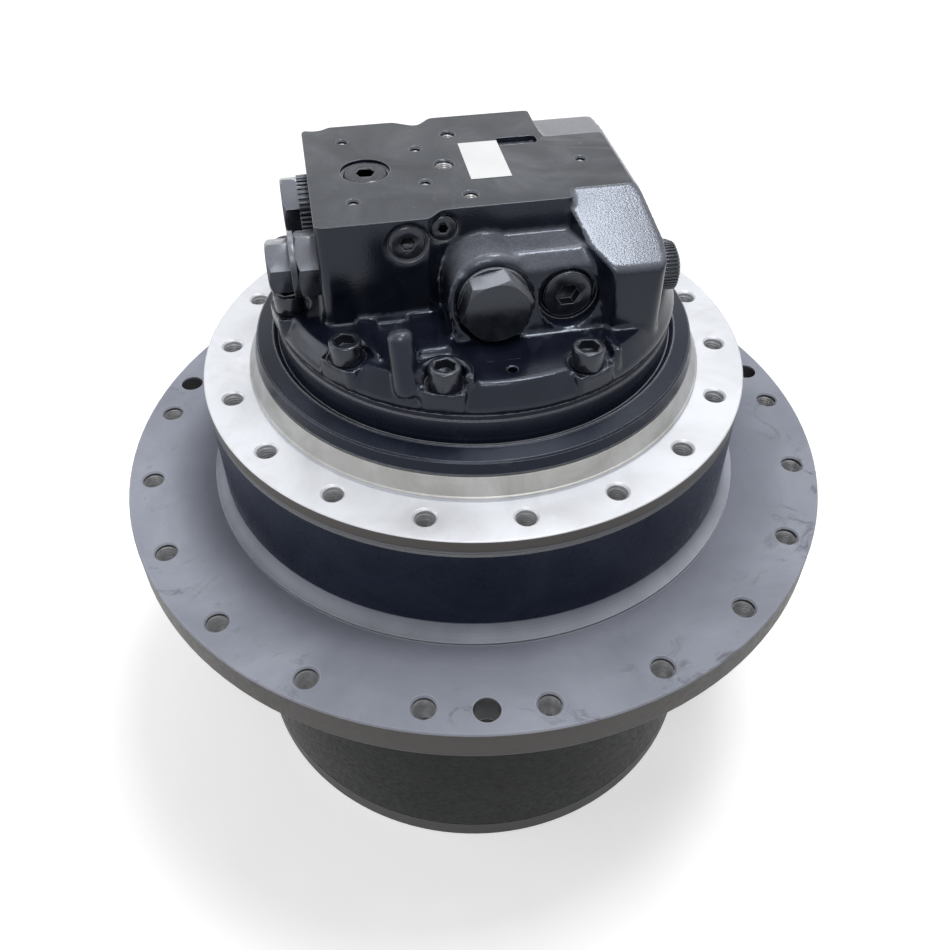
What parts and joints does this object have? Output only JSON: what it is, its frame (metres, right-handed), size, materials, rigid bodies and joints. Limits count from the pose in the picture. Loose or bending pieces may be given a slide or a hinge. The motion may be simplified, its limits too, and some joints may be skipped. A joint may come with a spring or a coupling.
{
  "type": "hydraulic travel drive",
  "caption": "Compact hydraulic drive: a turning hub with a sprocket flange around planetary gears, on a fixed piston motor with a bolted frame flange and valve block.",
  "frame": {"origin": "on the drive axis, at the outer face of the end cover that the drive stands on", "axes": "+Z along the drive axis from the end cover to the valve block; -Y towards the picture's camera; +X to the right in the picture"},
  "size_m": [0.4819, 0.482, 0.454],
  "materials": {
    "hub_paint": "matt",
    "cover_paint": "matt",
    "black_paint": "satin",
    "machined_iron": "machined",
    "black_steel": "oiled black",
    "gear_steel": "ground",
    "bright_steel": "polished",
    "carrier_iron": "cast",
    "bronze": "satin",
    "spring_steel": "oiled",
    "friction_lining": "matt",
    "seal_rubber": "matt"
  },
  "bodies": {
    "housing": {"motor_housing": "machined_iron", "main_bearing_inner_rings": "bright_steel", "bearing_nut": "carrier_iron", "seal_ring_fixed": "bright_steel", "seal_toric_fixed": "seal_rubber", "carrier_2": "carrier_iron", "carrier_2_screws": "black_steel", "planet_2_pins": "gear_steel", "planet_2_rollers": "bright_steel", "separator_plates": "gear_steel", "brake_springs": "spring_steel", "valve_plate": "bronze", "shaft_bearings": "bright_steel", "shaft_seal": "seal_rubber", "cover_seal": "seal_rubber", "valve_block": "black_paint", "cover_screws": "black_steel", "top_port_plug": "black_steel", "front_hex_plug": "black_steel", "front_socket_plug": "black_steel", "gauge_plugs": "black_steel", "ribbed_plug": "black_steel", "relief_valve": "black_steel", "spool_springs": "spring_steel", "spool_cap": "black_steel"},
    "hub": {"hub": "hub_paint", "ring_gear": "gear_steel", "end_cover": "cover_paint", "end_cover_screws": "black_steel", "drain_plugs": "black_steel", "thrust_plate": "bright_steel", "main_bearing_outer_rings": "bright_steel", "seal_ring_turning": "bright_steel", "seal_toric_turning": "seal_rubber"},
    "main_balls": {"main_bearing_balls": "bright_steel"},
    "planet_2_a": {"planet_2_a": "gear_steel"},
    "planet_2_b": {"planet_2_b": "gear_steel"},
    "planet_2_c": {"planet_2_c": "gear_steel"},
    "planet_2_d": {"planet_2_d": "gear_steel"},
    "carrier_1": {"carrier_1": "carrier_iron", "sun_2": "gear_steel", "planet_1_pins": "gear_steel", "planet_1_rollers": "bright_steel"},
    "planet_1_a": {"planet_1_a": "gear_steel"},
    "planet_1_b": {"planet_1_b": "gear_steel"},
    "planet_1_c": {"planet_1_c": "gear_steel"},
    "rotary_group": {"sun_1": "gear_steel", "motor_shaft": "gear_steel", "cylinder_block": "carrier_iron", "pistons": "bright_steel", "ball_guide": "gear_steel", "block_spring": "spring_steel", "friction_discs": "friction_lining"},
    "swash": {"swash_plate": "gear_steel"},
    "slippers": {"slippers": "bronze", "retainer_plate": "gear_steel"},
    "speed_piston": {"speed_piston": "bright_steel"},
    "brake_piston": {"brake_piston": "gear_steel"},
    "spool": {"counterbalance_spool": "bright_steel"}
  },
  "joints": [
    {"name": "hub_turn", "type": "hinge", "parent": "housing", "child": "hub", "pos_m": [0, 0, 0], "axis": [0, 0, 1], "continuous": true},
    {"name": "main_balls_turn", "type": "hinge", "parent": "housing", "child": "main_balls", "pos_m": [0, 0, 0], "axis": [0, 0, 1], "continuous": true},
    {"name": "planet_2_a_turn", "type": "hinge", "parent": "housing", "child": "planet_2_a", "pos_m": [0.0875, 0, 0.101], "axis": [0, 0, 1], "continuous": true},
    {"name": "planet_2_b_turn", "type": "hinge", "parent": "housing", "child": "planet_2_b", "pos_m": [0, 0.0875, 0.101], "axis": [0, 0, 1], "continuous": true},
    {"name": "planet_2_c_turn", "type": "hinge", "parent": "housing", "child": "planet_2_c", "pos_m": [-0.0875, 0, 0.101], "axis": [0, 0, 1], "continuous": true},
    {"name": "planet_2_d_turn", "type": "hinge", "parent": "housing", "child": "planet_2_d", "pos_m": [0, -0.0875, 0.101], "axis": [0, 0, 1], "continuous": true},
    {"name": "carrier_1_turn", "type": "hinge", "parent": "housing", "child": "carrier_1", "pos_m": [0, 0, 0.06], "axis": [0, 0, 1], "continuous": true},
    {"name": "planet_1_a_turn", "type": "hinge", "parent": "carrier_1", "child": "planet_1_a", "pos_m": [0.084, 0, 0.043], "axis": [0, 0, 1], "continuous": true},
    {"name": "planet_1_b_turn", "type": "hinge", "parent": "carrier_1", "child": "planet_1_b", "pos_m": [-0.042, 0.07275, 0.043], "axis": [0, 0, 1], "continuous": true},
    {"name": "planet_1_c_turn", "type": "hinge", "parent": "carrier_1", "child": "planet_1_c", "pos_m": [-0.042, -0.07275, 0.043], "axis": [0, 0, 1], "continuous": true},
    {"name": "shaft_turn", "type": "hinge", "parent": "housing", "child": "rotary_group", "pos_m": [0, 0, 0.2], "axis": [0, 0, 1], "continuous": true, "deforming": ["pistons"]},
    {"name": "swash_tilt", "type": "hinge", "parent": "housing", "child": "swash", "pos_m": [0, 0, 0.2568], "axis": [1, 0, 0], "range_deg": [-6, 0]},
    {"name": "slippers_turn", "type": "hinge", "parent": "swash", "child": "slippers", "pos_m": [0, 0, 0.2568], "axis": [0, -0.2419, 0.9703], "continuous": true},
    {"name": "speed_piston_slide", "type": "slide", "parent": "housing", "child": "speed_piston", "axis": [0, 0, 1], "range_m": [0, 0.006]},
    {"name": "brake_release", "type": "slide", "parent": "housing", "child": "brake_piston", "axis": [0, 0, 1], "range_m": [0, 0.003], "stiffness_N_per_m": 20000, "springref_m": -0.005, "deforming": ["brake_springs"]},
    {"name": "spool_slide", "type": "slide", "parent": "housing", "child": "spool", "axis": [0.9829, 0.184, 0], "range_m": [-0.008, 0.008], "stiffness_N_per_m": 4000, "deforming": ["spool_springs"]}
  ],
  "couplings": [
    {"joint": "main_balls_turn", "follows": "hub_turn", "ratio": 0.54694},
    {"joint": "planet_2_a_turn", "follows": "hub_turn", "ratio": 2.6667},
    {"joint": "planet_2_b_turn", "follows": "hub_turn", "ratio": 2.6667},
    {"joint": "planet_2_c_turn", "follows": "hub_turn", "ratio": 2.6667},
    {"joint": "planet_2_d_turn", "follows": "hub_turn", "ratio": 2.6667},
    {"joint": "carrier_1_turn", "follows": "hub_turn", "ratio": -4},
    {"joint": "planet_1_a_turn", "follows": "hub_turn", "ratio": 12.5},
    {"joint": "planet_1_b_turn", "follows": "hub_turn", "ratio": 12.5},
    {"joint": "planet_1_c_turn", "follows": "hub_turn", "ratio": 12.5},
    {"joint": "shaft_turn", "follows": "hub_turn", "ratio": -29},
    {"joint": "slippers_turn", "follows": "hub_turn", "ratio": -29},
    {"joint": "speed_piston_slide", "follows": "swash_tilt", "m_per_rad": -0.0563}
  ]
}
